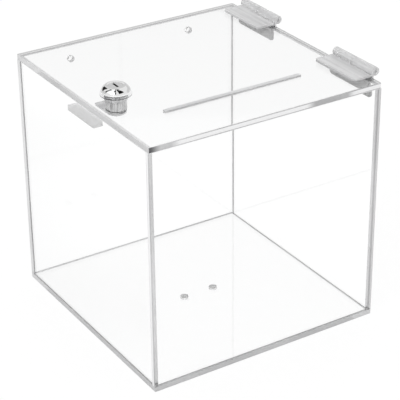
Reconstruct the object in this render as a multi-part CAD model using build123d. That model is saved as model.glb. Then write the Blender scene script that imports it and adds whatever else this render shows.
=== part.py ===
from build123d import *
import os
from math import asin, cos, degrees, radians, sin

# A clear ballot box: five bonded sheets, a slotted lid on two hinges, and a cam lock in the lid.
# X runs left to right, Y front to back, Z up. The origin is the centre of the floor's underside.
# The hinges are on the right wall, and the lock's cam turns under a keeper inside the left wall.

# Case, in millimetres
case_width = 250.0
case_depth = 250.0
case_height = 250.0  # from the table to the lid's top face
sheet = 5.0  # thickness of every clear sheet
lid_gap = 0.3  # air between the lid and the tops of the walls
lid_corner = 1.5  # radius of the lid's upright corners
arris = 0.3  # chamfer along the polished edges of a sheet
overrun = 1.0  # how far a cut runs past the face it opens
moving_gap = 0.3  # least air between a piece that moves and its neighbour

# Ballot slot through the lid
slot_length = 150.0
slot_width = 5.0
slot_from_front = 58.5

# Holes for screwing the case down, or to a wall
floor_hole_diameter = 8.0
floor_hole_pitch = 34.0
wall_hole_diameter = 6.5
wall_hole_pitch = 137.0
wall_hole_drop = 20.0  # below the lid's top face

# Keeper: the bar inside the left wall that the cam turns under
keeper_reach = 10.0
keeper_length = 48.5
keeper_thickness = 5.5
keeper_lead = 8.0  # from the keeper's front end to the edge of the locked cam

# Hinges: two leaves that meet in a barrel at the case's upper right edge
hinge_length = 62.0
hinge_inset = 15.0  # from the case's front or back face to the nearer hinge's end
lid_leaf_reach = 21.0
wall_leaf_reach = 20.0
leaf_thickness = 2.6
leaf_corner = 4.0
leaf_relief = 0.4  # keeps the wall leaf off the lid's edge
knuckle_diameter = 8.4
knuckle_chamfer = 0.6
pin_diameter = 3.0
pin_out = 4.8  # from the right wall's outer face to the pin's axis
pin_up = 4.8  # from the lid's top face to the pin's axis
pin_running_fit = 0.05  # radial, in the leaf that turns
pin_push_fit = 0.02  # radial, in the leaf that holds the pin
pin_recess = 1.0
pin_chamfer = 0.4
wall_knuckle_share = 0.53  # of the hinge's length, at its front end

# Lock: a domed head and barrel through the lid
lock_from_left = 36.0
lock_from_front = 119.5
head_diameter = 28.0
head_flat_diameter = 20.0
head_height = 6.3
head_band = 1.4  # upright rim below the dome
barrel_diameter = 20.0
barrel_across_flats = 18.0
barrel_drop = 15.3  # below the lid's underside
barrel_fit = 0.15  # radial, in the lid
barrel_washer_diameter = 30.0
barrel_washer_thickness = 1.0
barrel_nut_diameter = 22.4
barrel_nut_thickness = 4.0
barrel_nut_notch = 2.5
barrel_nut_notch_depth = 0.7
barrel_nut_notches = 4
thread_fit = 0.05  # radial, between a nut and its thread

# Lock: the plug that a key turns
plug_diameter = 12.2
plug_face_diameter = 13.6
plug_face_thickness = 3.0
plug_face_sink = 0.3  # below the dome's flat
plug_fit = 0.06
keyway_length = 9.0
keyway_width = 2.2
keyway_depth = 20.0
tail_square = 7.5

# Lock: the wafers that a key lifts
wafer_count = 5
wafer_width = 6.4
wafer_thickness = 1.0
wafer_pitch = 2.8
wafer_first = 5.4  # from the plug's face to the first wafer's middle
wafer_window_length = 8.6
wafer_window_width = 2.8
wafer_play = 0.1
wafer_end_gap = 0.2

# Lock: stop washer, cam and their fixings, on the plug's tail
lock_swing = 90.0  # degrees, from the open to the locked position
cam_rest_angle = 90.0  # degrees from +X: open, pointing to the back
stop_washer_thickness = 1.8
stop_washer_web = 2.4  # width of the notch, inwards from the washer's rim
stop_lug_width = 3.0
stop_lug_end_gap = 0.3
stop_play = 3.0  # degrees
cam_width = 19.0
cam_thickness = 1.5
cam_tip_corner = 2.0
cam_bite = 4.5  # how far the locked cam's tip lies under the keeper
cam_washer_diameter = 11.0
cam_washer_thickness = 0.8
tail_fit = 0.05
screw_diameter = 5.0
screw_length = 8.0  # below its head
screw_head_diameter = 9.0
screw_head_height = 2.0
screw_head_chamfer = 0.4
screw_socket_across_flats = 3.0
screw_socket_depth = 1.2
screw_end_gap = 0.6  # from the screw's end to the bottom of its hole

# Places that follow from the sizes above
left = -case_width / 2
right = case_width / 2
front = -case_depth / 2
back = case_depth / 2
lid_underside = case_height - sheet
wall_top = lid_underside - lid_gap
side_wall_depth = case_depth - 2 * sheet
axis_x = right + pin_out
axis_z = case_height + pin_up
lock_x = left + lock_from_left
lock_y = front + lock_from_front
barrel_end = lid_underside - barrel_drop
plug_face = case_height + head_height - plug_face_sink
stop_washer_top = barrel_end - moving_gap
cam_top = stop_washer_top - stop_washer_thickness
cam_washer_top = cam_top - cam_thickness
screw_head_top = cam_washer_top - cam_washer_thickness
cam_reach = lock_from_left - sheet - keeper_reach + cam_bite
keeper_underside = cam_top + moving_gap
keeper_front = lock_y - cam_width / 2 - keeper_lead


def block(x0, x1, y0, y1, z0, z1):
    """A rectangular block between two corners."""
    box = Box(x1 - x0, y1 - y0, z1 - z0)
    return Pos((x0 + x1) / 2, (y0 + y1) / 2, (z0 + z1) / 2) * box


def sheet_panel(x0, x1, y0, y1, z0, z1):
    """A sheet with every edge slightly broken."""
    panel = block(x0, x1, y0, y1, z0, z1)
    return chamfer(panel.edges(), arris)


def upright_rod(x, y, z0, z1, diameter):
    """A round bar or cutter along Z."""
    return Pos(x, y, (z0 + z1) / 2) * Cylinder(diameter / 2, z1 - z0)


def lock_rod(z0, z1, diameter):
    """A round bar or cutter on the lock's axis."""
    return upright_rod(lock_x, lock_y, z0, z1, diameter)


def cross_rod(x, z, y0, y1, diameter):
    """A round bar or cutter along Y."""
    rod = Cylinder(diameter / 2, y1 - y0)
    return Pos(x, (y0 + y1) / 2, z) * Rot(90, 0, 0) * rod


def floor_panel():
    """The base sheet, with two screw holes at its centre."""
    panel = sheet_panel(left, right, front, back, 0, sheet)
    for side in (-1, 1):
        x = side * floor_hole_pitch / 2
        panel -= upright_rod(x, 0, -overrun, sheet + overrun, floor_hole_diameter)
    return panel


def front_wall():
    return sheet_panel(left, right, front, front + sheet, sheet, wall_top)


def back_wall():
    """The rear sheet, with two holes for hanging the case on a wall."""
    panel = sheet_panel(left, right, back - sheet, back, sheet, wall_top)
    z = case_height - wall_hole_drop
    for side in (-1, 1):
        x = side * wall_hole_pitch / 2
        panel -= cross_rod(x, z, back - sheet - overrun, back + overrun, wall_hole_diameter)
    return panel


def right_wall():
    y1 = side_wall_depth / 2
    return sheet_panel(right - sheet, right, -y1, y1, sheet, wall_top)


def left_wall():
    y1 = side_wall_depth / 2
    return sheet_panel(left, left + sheet, -y1, y1, sheet, wall_top)


def cam_keeper():
    """The short bar bonded inside the left wall. The locked cam lies just under it."""
    x0 = left + sheet
    y1 = keeper_front + keeper_length
    z1 = keeper_underside + keeper_thickness
    return sheet_panel(x0, x0 + keeper_reach, keeper_front, y1, keeper_underside, z1)


def barrel_section(z0, z1, fit):
    """The barrel's round section with its two flats, enlarged by a fit."""
    round_bar = lock_rod(z0, z1, barrel_diameter + 2 * fit)
    x1 = barrel_across_flats / 2 + fit
    y1 = barrel_diameter / 2 + overrun
    flats = block(lock_x - x1, lock_x + x1, lock_y - y1, lock_y + y1, z0, z1)
    return round_bar & flats


def lid_panel():
    """The lid sheet, with the ballot slot and the lock's double-D hole."""
    panel = block(left, right, front, back, lid_underside, case_height)
    panel = fillet(panel.edges().filter_by(Axis.Z), lid_corner)
    rims = panel.faces().filter_by(Axis.Z).edges()
    panel = chamfer(rims, arris)
    slot = extrude(SlotOverall(slot_length, slot_width), sheet + 2 * overrun)
    panel -= Pos(0, front + slot_from_front, lid_underside - overrun) * slot
    return panel - barrel_section(lid_underside - overrun, case_height + overrun, barrel_fit)


def hinge_zones(y0):
    """The lengths of the wall leaf's knuckle, in front, and of the lid leaf's, behind it."""
    split = y0 + hinge_length * wall_knuckle_share
    return (y0, split - moving_gap / 2), (split + moving_gap / 2, y0 + hinge_length)


def leaf_plate(x0, x1, y0, y1, z0, z1, axis, corner_edges):
    """A leaf's flat plate, with the two corners of its free edge rounded."""
    plate = block(x0, x1, y0, y1, z0, z1)
    corners = plate.edges().filter_by(axis).sort_by(corner_edges)[:2]
    return fillet(corners, leaf_corner)


def knuckle(zone):
    """One part of the hinge's barrel, solid until it is bored."""
    rod = cross_rod(axis_x, axis_z, zone[0], zone[1], knuckle_diameter)
    return chamfer(rod.edges().filter_by(GeomType.CIRCLE), knuckle_chamfer)


def pin_bore(y0, fit):
    """The cutter for a leaf's pin hole, right through the barrel."""
    diameter = pin_diameter + 2 * fit
    return cross_rod(axis_x, axis_z, y0 - overrun, y0 + hinge_length + overrun, diameter)


def lid_leaf(y0):
    """The leaf on the lid. Its knuckle is the rear one, and it turns on the pin."""
    lid_zone = hinge_zones(y0)[1]
    z1 = case_height + leaf_thickness
    x0 = right - lid_leaf_reach
    plate = leaf_plate(x0, right - moving_gap, y0, y0 + hinge_length, case_height, z1, Axis.Z, Axis.X)
    arm = block(right - leaf_thickness, axis_x, lid_zone[0], lid_zone[1], case_height, z1)
    return plate + arm + knuckle(lid_zone) - pin_bore(y0, pin_running_fit)


def wall_leaf(y0):
    """The leaf on the right wall. Its knuckle is the front one, and it holds the pin."""
    wall_zone = hinge_zones(y0)[0]
    x1 = right + leaf_thickness
    z0 = case_height - wall_leaf_reach
    z1 = case_height - moving_gap
    plate = leaf_plate(right, x1, y0, y0 + hinge_length, z0, z1, Axis.X, Axis.Z)
    arm = block(right, x1, wall_zone[0], wall_zone[1], case_height - leaf_thickness, axis_z)
    leaf = plate + arm + knuckle(wall_zone) - pin_bore(y0, pin_push_fit)
    relief_bottom = lid_underside - moving_gap
    relief_top = case_height + moving_gap
    y1 = y0 + hinge_length + overrun
    return leaf - block(right - overrun, right + leaf_relief, y0 - overrun, y1, relief_bottom, relief_top)


def hinge_pin(y0):
    """The pin, sunk a little at both ends of the barrel."""
    y1 = y0 + hinge_length - pin_recess
    pin = cross_rod(axis_x, axis_z, y0 + pin_recess, y1, pin_diameter)
    return chamfer(pin.edges().filter_by(GeomType.CIRCLE), pin_chamfer)


def dome_head():
    """The head: an upright band, a dome and a flat, turned about the lock's axis."""
    radius = head_diameter / 2
    flat = head_flat_diameter / 2
    base = Line((0, 0), (radius, 0))
    band = Line((radius, 0), (radius, head_band))
    dome = TangentArc((radius, head_band), (flat, head_height), tangent=(0, 1))
    top = Line((flat, head_height), (0, head_height))
    axis_side = Line((0, head_height), (0, 0))
    profile = Plane.XZ * make_face(Curve([base, band, dome, top, axis_side]))
    return Pos(lock_x, lock_y, case_height) * revolve(profile, Axis.Z)


def stop_lug():
    """The lug below the barrel's end that the stop washer's notch meets."""
    lug_bottom = cam_top + stop_lug_end_gap
    x1 = lock_x + barrel_diameter / 2
    x0 = x1 - stop_washer_web + moving_gap
    y1 = stop_lug_width / 2
    lug = block(x0, x1, lock_y - y1, lock_y + y1, lug_bottom, barrel_end + overrun)
    return lug & barrel_section(lug_bottom, barrel_end + overrun, 0)


def lock_housing():
    """Head and barrel in one casting, bored for the plug and its face."""
    housing = dome_head() + barrel_section(barrel_end, case_height + head_band, 0) + stop_lug()
    bore = lock_rod(cam_top, plug_face, plug_diameter + 2 * plug_fit)
    counterbore_bottom = plug_face - plug_face_thickness - plug_fit
    counterbore = lock_rod(counterbore_bottom, plug_face + overrun, plug_face_diameter + 2 * plug_fit)
    return housing - bore - counterbore


def barrel_washer():
    """The clear washer between the lid and the barrel's nut."""
    z0 = lid_underside - barrel_washer_thickness
    washer = lock_rod(z0, lid_underside, barrel_washer_diameter)
    return washer - lock_rod(z0 - overrun, lid_underside + overrun, barrel_diameter + 2 * barrel_fit)


def barrel_nut():
    """The round nut that clamps the lock to the lid, with notches for a spanner."""
    z1 = lid_underside - barrel_washer_thickness
    z0 = z1 - barrel_nut_thickness
    nut = lock_rod(z0, z1, barrel_nut_diameter)
    nut -= lock_rod(z0 - overrun, z1 + overrun, barrel_diameter + 2 * thread_fit)
    reach = barrel_nut_notch_depth + overrun
    notch = Box(reach, barrel_nut_notch, z1 - z0 + 2 * overrun)
    inset = barrel_nut_diameter / 2 - barrel_nut_notch_depth + reach / 2
    for turn in range(barrel_nut_notches):
        place = Pos(lock_x, lock_y, (z0 + z1) / 2) * Rot(0, 0, turn * 360 / barrel_nut_notches)
        nut -= place * Pos(inset, 0, 0) * notch
    return nut


def wafer_heights():
    """The middle height of each wafer, from the front of the plug to its rear."""
    return [plug_face - wafer_first - wafer_pitch * i for i in range(wafer_count)]


def tail_block(z0, z1, fit):
    """The plug's square tail, turned with the cam, and enlarged by a fit."""
    side = tail_square + 2 * fit
    place = Pos(lock_x, lock_y, (z0 + z1) / 2) * Rot(0, 0, cam_rest_angle)
    return place * Box(side, side, z1 - z0)


def lock_plug():
    """The plug: face, round body with its keyway and wafer slots, and square tail bored for a screw."""
    body = lock_rod(barrel_end, plug_face, plug_diameter)
    face = lock_rod(plug_face - plug_face_thickness, plug_face, plug_face_diameter)
    x1 = keyway_width / 2
    y1 = keyway_length / 2
    keyway_end = plug_face - keyway_depth
    keyway = block(lock_x - x1, lock_x + x1, lock_y - y1, lock_y + y1, keyway_end, plug_face + overrun)
    plug = body + face - keyway
    slot_x = wafer_width / 2 + wafer_play
    slot_y = plug_diameter / 2 + overrun
    slot_z = wafer_thickness / 2 + wafer_play
    for z in wafer_heights():
        x0, x1 = lock_x - slot_x, lock_x + slot_x
        plug -= block(x0, x1, lock_y - slot_y, lock_y + slot_y, z - slot_z, z + slot_z)
    tail = tail_block(cam_washer_top, barrel_end, 0)
    hole_end = screw_head_top + screw_length + screw_end_gap
    hole = lock_rod(cam_washer_top - overrun, hole_end, screw_diameter + 2 * thread_fit)
    return plug + tail - hole


def wafer(z):
    """One wafer, rounded at its ends to lie inside the plug, with the key's window."""
    x1 = wafer_width / 2
    y1 = plug_diameter / 2
    z0 = z - wafer_thickness / 2
    z1 = z + wafer_thickness / 2
    plate = block(lock_x - x1, lock_x + x1, lock_y - y1, lock_y + y1, z0, z1)
    plate &= lock_rod(z0, z1, plug_diameter - 2 * wafer_end_gap)
    x2 = wafer_window_width / 2
    y2 = wafer_window_length / 2
    return plate - block(lock_x - x2, lock_x + x2, lock_y - y2, lock_y + y2, z0 - overrun, z1 + overrun)


def stop_notch_cutter():
    """A wedge over the stop lug's sweep, open beyond the washer's rim."""
    notch_radius = barrel_diameter / 2 - stop_washer_web
    half_angle = lock_swing / 2 + degrees(asin(stop_lug_width / 2 / notch_radius)) + stop_play
    far = (barrel_diameter / 2 + overrun) / cos(radians(half_angle))
    x = far * cos(radians(half_angle))
    y = far * sin(radians(half_angle))
    height = stop_washer_thickness + 2 * overrun
    wedge = extrude(make_face(Polyline((0, 0), (x, -y), (x, y), (0, 0))), height)
    wedge -= Cylinder(notch_radius, 3 * height)
    place = Pos(lock_x, lock_y, stop_washer_top - stop_washer_thickness - overrun)
    return place * Rot(0, 0, -lock_swing / 2) * wedge


def stop_washer():
    """The washer whose notch limits the plug's turn against the barrel's lug."""
    z0 = stop_washer_top - stop_washer_thickness
    washer = lock_rod(z0, stop_washer_top, barrel_diameter)
    washer -= tail_block(z0 - overrun, stop_washer_top + overrun, tail_fit)
    return washer - stop_notch_cutter()


def lock_cam():
    """The cam: a flat arm, round about the plug and square at its tip, on the plug's square tail."""
    y1 = cam_width / 2
    arm = block(0, cam_reach, -y1, y1, 0, cam_thickness)
    arm = fillet(arm.edges().filter_by(Axis.Z).sort_by(Axis.X)[2:], cam_tip_corner)
    arm += upright_rod(0, 0, 0, cam_thickness, cam_width)
    arm = Pos(lock_x, lock_y, cam_washer_top) * Rot(0, 0, cam_rest_angle) * arm
    return arm - tail_block(cam_washer_top - overrun, cam_top + overrun, tail_fit)


def cam_washer():
    """The plain washer under the cam."""
    washer = lock_rod(screw_head_top, cam_washer_top, cam_washer_diameter)
    hole = lock_rod(screw_head_top - overrun, cam_washer_top + overrun, screw_diameter + 2 * thread_fit)
    return washer - hole


def cam_screw():
    """The low-headed screw that holds the cam on the plug, with a hexagon socket."""
    z0 = screw_head_top - screw_head_height
    head = lock_rod(z0, screw_head_top, screw_head_diameter)
    head = chamfer(head.edges().filter_by(GeomType.CIRCLE).sort_by(Axis.Z)[0], screw_head_chamfer)
    shank = lock_rod(screw_head_top, screw_head_top + screw_length, screw_diameter)
    outline = RegularPolygon(screw_socket_across_flats / 2, 6, major_radius=False)
    socket = extrude(outline, screw_socket_depth + overrun)
    return head + shank - Pos(lock_x, lock_y, z0 - overrun) * socket


front_hinge = front + hinge_inset
rear_hinge = back - hinge_inset - hinge_length

nodes = {
    "floor_panel": [floor_panel()],
    "front_wall": [front_wall()],
    "back_wall": [back_wall()],
    "left_wall": [left_wall()],
    "right_wall": [right_wall()],
    "cam_keeper": [cam_keeper()],
    "lid_panel": [lid_panel()],
    "front_lid_leaf": [lid_leaf(front_hinge)],
    "front_wall_leaf": [wall_leaf(front_hinge)],
    "front_hinge_pin": [hinge_pin(front_hinge)],
    "rear_lid_leaf": [lid_leaf(rear_hinge)],
    "rear_wall_leaf": [wall_leaf(rear_hinge)],
    "rear_hinge_pin": [hinge_pin(rear_hinge)],
    "lock_housing": [lock_housing()],
    "barrel_washer": [barrel_washer()],
    "barrel_nut": [barrel_nut()],
    "lock_plug": [lock_plug()],
    "plug_wafers": [wafer(z) for z in wafer_heights()],
    "stop_washer": [stop_washer()],
    "lock_cam": [lock_cam()],
    "cam_washer": [cam_washer()],
    "cam_screw": [cam_screw()],
}

os.makedirs("parts", exist_ok=True)
for name, pieces in nodes.items():
    solids = [solid for piece in pieces for solid in piece.solids()]
    shape = solids[0] if len(solids) == 1 else Compound(solids)
    export_step(shape, f"parts/{name}.step")
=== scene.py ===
import logging
import math
from dataclasses import dataclass, field
from enum import Enum

import bmesh
import bpy
from mathutils import Matrix, Vector


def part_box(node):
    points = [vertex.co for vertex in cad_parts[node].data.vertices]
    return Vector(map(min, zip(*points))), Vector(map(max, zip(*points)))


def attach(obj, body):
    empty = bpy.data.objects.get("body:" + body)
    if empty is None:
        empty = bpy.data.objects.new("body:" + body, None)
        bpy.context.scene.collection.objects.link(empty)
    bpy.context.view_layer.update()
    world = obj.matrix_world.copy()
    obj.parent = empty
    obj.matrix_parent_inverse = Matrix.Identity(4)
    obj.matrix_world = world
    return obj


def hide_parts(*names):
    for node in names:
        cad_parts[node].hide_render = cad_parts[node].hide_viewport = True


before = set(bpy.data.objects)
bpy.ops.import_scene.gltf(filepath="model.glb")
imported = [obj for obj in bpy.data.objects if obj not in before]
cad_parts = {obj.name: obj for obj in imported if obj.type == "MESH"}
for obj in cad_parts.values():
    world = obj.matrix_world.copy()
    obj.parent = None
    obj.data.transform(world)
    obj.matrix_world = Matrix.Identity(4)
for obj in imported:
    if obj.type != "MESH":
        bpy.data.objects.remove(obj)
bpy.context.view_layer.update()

log = logging.getLogger("ballot_box")

MM = 0.001

# Noise lies mostly between 0.3 and 0.7, so a ramp over one of these bands uses all of a finish's range.
WIDE_BAND = (0.3, 0.7)
SOFT_BAND = (0.35, 0.65)

Point = tuple[float, float]
Loop = list[Point]
Triple = tuple[float, float, float]
Colour = Triple
Material = bpy.types.Material
Mesh = bpy.types.Mesh
Socket = bpy.types.NodeSocket
Value = float | Socket
Tone = Colour | Socket


class Across(Enum):
    """The axis that a sheet is square to, with the two axes its outline is drawn on."""

    X = (0, 1, 2)
    Y = (1, 0, 2)
    Z = (2, 0, 1)

    @property
    def normal(self) -> int:
        """Which coordinate runs through the sheet."""
        return self.value[0]

    @property
    def plane(self) -> tuple[int, int]:
        """Which coordinates the outline is drawn on."""
        return self.value[1:]

    def point(self, u: float, v: float, through: float) -> Vector:
        """A place from its two coordinates on the outline and the one through the sheet.

        Args:
            u: the outline's first coordinate.
            v: the outline's second coordinate.
            through: the coordinate through the sheet.

        Returns:
            The place.
        """
        place = Vector()
        for number, value in zip(self.value, (through, u, v)):
            place[number] = value
        return place


class Body(Enum):
    """The bodies of the frame that the scene's own pieces ride on."""

    CASE = "case"
    LID = "lid"


class EdgeKind(Enum):
    """How an edge of a sheet looks, with its place among the sheet's finishes."""

    CLEAR = 0
    GREY = 1
    BONDED = 2
    BRIGHT = 3
    PALE = 4
    SATIN = 5


class Slot(Enum):
    """The record's material slots named with the scene's own pieces; nothing reads them."""

    SHEET = "clear_sheet"
    HINGE = "hinge_plastic"
    WASHER = "washer_plastic"
    CHROME = "lock_chrome"


class ShaderTree:
    """A node tree under construction, with short calls that add nodes and join them."""

    def __init__(self, tree: bpy.types.NodeTree) -> None:
        """Empties a node tree and keeps it."""
        self.tree = tree
        tree.nodes.clear()

    def node(self, kind: str, inputs: dict | None = None, **settings: object) -> bpy.types.Node:
        """Adds a node.

        Args:
            kind: the node type, without its ShaderNode prefix.
            inputs: values or sockets for the node's inputs, by name or number.
            settings: the node's own settings.

        Returns:
            The new node.
        """
        made = self.tree.nodes.new("ShaderNode" + kind)
        for key, value in settings.items():
            setattr(made, key, value)
        for key, value in (inputs or {}).items():
            if isinstance(value, Socket):
                self.tree.links.new(value, made.inputs[key])
            else:
                made.inputs[key].default_value = value
        return made

    def math(self, operation: str, *values: Value) -> Socket:
        """Adds a Math node with its inputs in order, and returns its result."""
        return self.node("Math", dict(enumerate(values)), operation=operation).outputs[0]

    def ramp(self, value: Value, low: Value, high: Value, start: Value, end: Value) -> Socket:
        """Maps low to start and high to end, smoothly between them and level beyond."""
        inputs = {0: value, 1: low, 2: high, 3: start, 4: end}
        return self.node("MapRange", inputs, interpolation_type="SMOOTHSTEP").outputs[0]

    def blend(self, share: Value, first: Value, second: Value) -> Socket:
        """Mixes two numbers, with a share of the second."""
        return self.node("Mix", {0: share, 2: first, 3: second}, data_type="FLOAT").outputs[0]

    def tone(self, share: Value, first: Tone, second: Tone) -> Socket:
        """Mixes two colours, with a share of the second."""
        ends = [(*end, 1.0) if isinstance(end, tuple) else end for end in (first, second)]
        return self.node("Mix", {0: share, 6: ends[0], 7: ends[1]}, data_type="RGBA").outputs[2]

    def shaded(self, colour: Socket, shade: Socket) -> Socket:
        """Darkens a colour to a share of itself."""
        inputs = {0: 1.0, 6: colour, 7: shade}
        return self.node("Mix", inputs, data_type="RGBA", blend_type="MULTIPLY").outputs[2]

    def within(self, value: Value, start: float, end: float, soft: float) -> Socket:
        """Tells where a value lies between a start and an end.

        Args:
            value: the value.
            start: the start.
            end: the end.
            soft: how far to each side of both the change reaches.

        Returns:
            A socket that is 1 between them and 0 outside.
        """
        rise = self.ramp(value, start - soft, start + soft, 0.0, 1.0)
        fall = self.ramp(value, end - soft, end + soft, 1.0, 0.0)
        return self.math("MULTIPLY", rise, fall)

    def place(self) -> bpy.types.bpy_prop_collection:
        """The three coordinates of a place on the piece."""
        return self.node("SeparateXYZ", {0: self.node("TexCoord").outputs["Object"]}).outputs

    def grain(self, scale: float, detail: float = 3.0, stretch: Triple = (1.0, 1.0, 1.0)) -> Socket:
        """Noise in the piece's own coordinates.

        Args:
            scale: the noise's scale.
            detail: the noise's detail.
            stretch: how often it varies along X, Y and Z.

        Returns:
            The noise's value.
        """
        place = self.node("TexCoord").outputs["Object"]
        stretched = self.node("Mapping", {"Vector": place, "Scale": stretch}).outputs[0]
        noise = self.node("TexNoise", {"Vector": stretched, "Scale": scale, "Detail": detail})
        return noise.outputs[0]

    def bump(self, strength: float, depth: float, height: Socket) -> Socket:
        """Raises the surface by a height, and returns its normal."""
        return self.node("Bump", {"Strength": strength, "Distance": depth, "Height": height}).outputs[0]

    def principled(self, inputs: dict) -> Socket:
        """Adds the surface shader of a piece's finish."""
        return self.node("BsdfPrincipled", inputs).outputs[0]

    def rays(self) -> tuple[Socket, Socket, Socket]:
        """Tells how a place is seen.

        Returns:
            Three sockets of 0 or 1: straight from the camera, through something clear, and mirrored.
        """
        paths = self.node("LightPath").outputs
        through = paths["Is Transmission Ray"]
        shiny = self.math("SUBTRACT", paths["Is Glossy Ray"], through)
        return paths["Is Camera Ray"], through, self.math("MAXIMUM", shiny, 0.0)


def grey(value: float, blue: float = 0.005) -> Colour:
    """A grey, a little bluer by default."""
    return (value, value, value + blue)


@dataclass(frozen=True)
class Finish:
    """A finish, which makes its material."""

    name: str

    def surface(self, tree: ShaderTree) -> Socket:
        """Makes the finish's surface in the material's tree, and returns its shader."""
        raise NotImplementedError

    def material(self) -> Material:
        """Makes the material.

        Returns:
            The material, with the finish's surface.
        """
        material = bpy.data.materials.new(self.name)
        material.use_nodes = True
        tree = ShaderTree(material.node_tree)
        tree.node("OutputMaterial", {"Surface": self.surface(tree)})
        return material


@dataclass(frozen=True)
class ClearAcrylic(Finish):
    """The flat faces of cast acrylic: clear, with the faintest unevenness."""

    name: str = "clear_acrylic"
    colour: Colour = (0.998, 0.999, 0.999)
    index: float = 1.49
    smooth: float = 0.002
    hazy: float = 0.012
    haze_scale: float = 18.0
    haze_band: Point = (0.35, 0.75)

    def surface(self, tree: ShaderTree) -> Socket:
        """Makes the finish's surface.

        Args:
            tree: the material's tree.

        Returns:
            The shader's output.
        """
        rough = tree.ramp(tree.grain(self.haze_scale), *self.haze_band, self.smooth, self.hazy)
        inputs = {"Base Color": (*self.colour, 1.0), "Roughness": rough}
        return tree.principled(inputs | {"IOR": self.index, "Transmission Weight": 1.0})


@dataclass(frozen=True)
class PolishedEdge(Finish):
    """The sawn and polished edges of a sheet: satin grey, with streaks along the edge.

    Clear is how much light it lets through from outside, and inner how much from inside the
    sheet, where tint darkens its colour. Silver is how far it mirrors like metal, as a bonded
    edge does from inside the sheet.
    """

    name: str = "polished_edge"
    dark: Colour = grey(0.75)
    light: Colour = grey(0.84)
    clear: float = 0.2
    inner: float = 0.6
    tint: float = 1.0
    silver: float = 0.0
    index: float = 1.13
    gloss: float = 0.3
    satin: float = 0.42
    patch_scale: float = 14.0
    fine_scale: float = 420.0
    fine_share: float = 0.25
    relief: float = 0.03
    relief_depth: float = 0.05 * MM

    def surface(self, tree: ShaderTree) -> Socket:
        """Makes the finish's surface.

        Args:
            tree: the material's tree.

        Returns:
            The shader's output.
        """
        patches = tree.grain(self.patch_scale, detail=2.0)
        fine = tree.grain(self.fine_scale, detail=2.0)
        streaks = tree.ramp(tree.blend(self.fine_share, patches, fine), *SOFT_BAND, 0.0, 1.0)
        colour = self.colour(tree, streaks)
        inside = tree.node("NewGeometry").outputs["Backfacing"]
        if self.tint < 1:
            colour = tree.shaded(colour, tree.blend(inside, 1.0, self.tint))
        rough = tree.ramp(fine, *WIDE_BAND, self.gloss, self.satin)
        bump = tree.bump(self.relief, self.relief_depth, fine)
        inputs = {"Base Color": colour, "Roughness": rough, "Normal": bump, "IOR": self.index}
        clear = tree.blend(inside, self.clear, self.inner)
        return tree.principled(inputs | {"Transmission Weight": clear, "Metallic": self.silver})

    def colour(self, tree: ShaderTree, streaks: Socket) -> Socket:
        """Colours the edge by how light its streaks are, from 0 to 1."""
        return tree.tone(streaks, self.dark, self.light)


@dataclass(frozen=True)
class RimmedEdge(PolishedEdge):
    """A clearer polished edge: bright along its middle, grey in two thin lines at the faces.

    A run is a stretch along the edge, from and to a coordinate, that stays grey throughout.
    Shade is where the edge turns dark, from its darkest to not at all.
    """

    across: Across = Across.Z
    middle: float = 247.5 * MM
    half: float = 2.5 * MM
    rim: float = 0.9 * MM
    bright: Colour = grey(0.98)
    darkest: Colour = grey(0.12)
    shade: Point | None = None
    along: int = 0
    runs: tuple[Point, ...] = ()
    fade: float = 6 * MM

    def colour(self, tree: ShaderTree, streaks: Socket) -> Socket:
        """Colours the edge's middle, its rims, its runs and its shade.

        Args:
            tree: the material's tree.
            streaks: how light each place is, from 0 to 1.

        Returns:
            The colour's socket.
        """
        place = tree.place()
        away = tree.math("ABSOLUTE", tree.math("SUBTRACT", place[self.across.normal], self.middle))
        rims = tree.ramp(away, self.half - self.rim, self.half - self.rim / 2, 0.0, 1.0)
        for start, end in self.runs:
            rims = tree.math("MAXIMUM", rims, tree.within(place[self.along], start, end, self.fade))
        mixed = tree.tone(rims, self.bright, super().colour(tree, streaks))
        if self.shade:
            mixed = tree.tone(tree.ramp(place[self.along], *self.shade, 1.0, 0.0), mixed, self.darkest)
        return mixed


@dataclass(frozen=True)
class MouldedPlastic(Finish):
    """Clear plastic that has gone a little milky, with flow lines along its length.

    It is painted darker towards its bottom, fading out between two heights: painted shade, where less light
    reaches its lower part.
    """

    dark: Colour
    light: Colour
    clear: float
    gloss: float
    satin: float
    index: float = 1.3
    lines: Triple = (900.0, 22.0, 900.0)
    # Painted shade: darker from the lower height down, fading out at the higher one, to this share of its
    # tone.
    painted_shade_heights: Point | None = None
    painted_shade_tone: float = 0.72
    line_scale: float = 0.35
    cloud_scale: float = 90.0
    cloud_share: float = 0.15
    band: Point = (0.36, 0.64)
    relief: float = 0.03
    relief_depth: float = 0.1 * MM

    def surface(self, tree: ShaderTree) -> Socket:
        """Makes the finish's surface.

        Args:
            tree: the material's tree.

        Returns:
            The shader's output.
        """
        flow = tree.grain(self.line_scale, stretch=self.lines)
        cloud = tree.grain(self.cloud_scale, detail=2.0)
        mixed = tree.blend(self.cloud_share, flow, cloud)
        colour = tree.tone(tree.ramp(mixed, *self.band, 0.0, 1.0), self.dark, self.light)
        # Painted shade: darker towards the bottom, between the two heights.
        if self.painted_shade_heights:
            colour = tree.shaded(colour, tree.ramp(tree.place()[2], *self.painted_shade_heights, self.painted_shade_tone, 1.0))
        rough = tree.ramp(cloud, *WIDE_BAND, self.gloss, self.satin)
        bump = tree.bump(self.relief, self.relief_depth, flow)
        inputs = {"Base Color": colour, "Roughness": rough, "Normal": bump, "IOR": self.index}
        return tree.principled(inputs | {"Transmission Weight": self.clear})


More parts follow.
